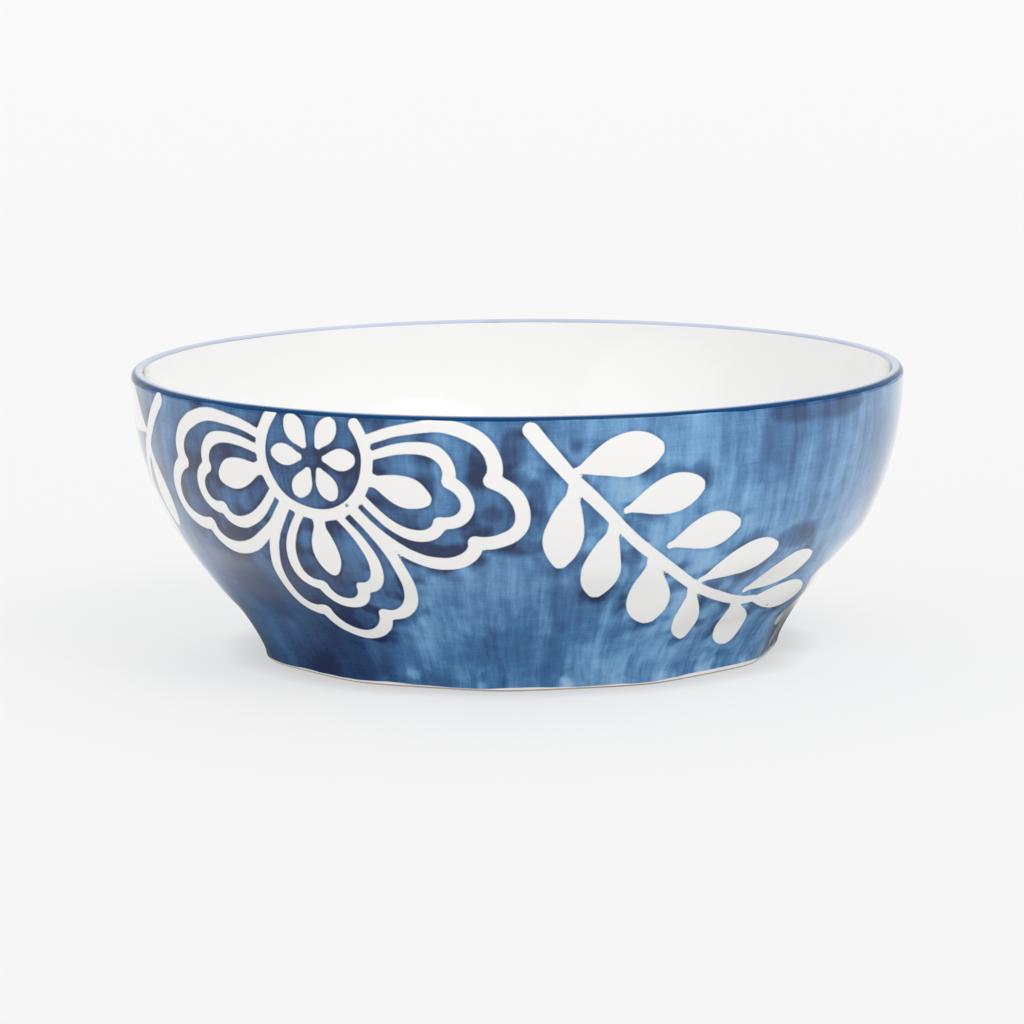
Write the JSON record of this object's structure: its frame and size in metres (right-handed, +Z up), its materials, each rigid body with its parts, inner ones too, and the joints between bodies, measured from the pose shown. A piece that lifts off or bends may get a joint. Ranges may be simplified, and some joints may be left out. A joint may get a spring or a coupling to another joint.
{
  "type": "serving bowl",
  "caption": "Round porcelain serving bowl with a full belly, soft flutes over the foot, a bare ring foot, white inside and a blue brushed outside with white flowers and leaf sprigs.",
  "frame": {"origin": "middle of the foot, on the plane that the bowl stands on", "axes": "+Z up through the mouth; +X to the right and -Y to the front, where the flower and sprig are"},
  "size_m": [0.22, 0.22, 0.081],
  "materials": {
    "bare_clay": "bare fired clay, fine-grained and matt",
    "white_glaze": "clear gloss glaze over white clay",
    "blue_wash_glaze": "brushed blue wash with white left where the clay was masked, under a gloss glaze",
    "rim_glaze": "dark blue band, thin over the lip, under a gloss glaze",
    "liner_glaze": "warm white gloss glaze"
  },
  "bodies": {
    "root": {"porcelain_body": "bare_clay", "recess_glaze": "white_glaze", "foot_line_glaze": "white_glaze", "wall_glaze": "blue_wash_glaze", "rim_band": "rim_glaze", "liner_glaze": "liner_glaze"}
  },
  "joints": []
}
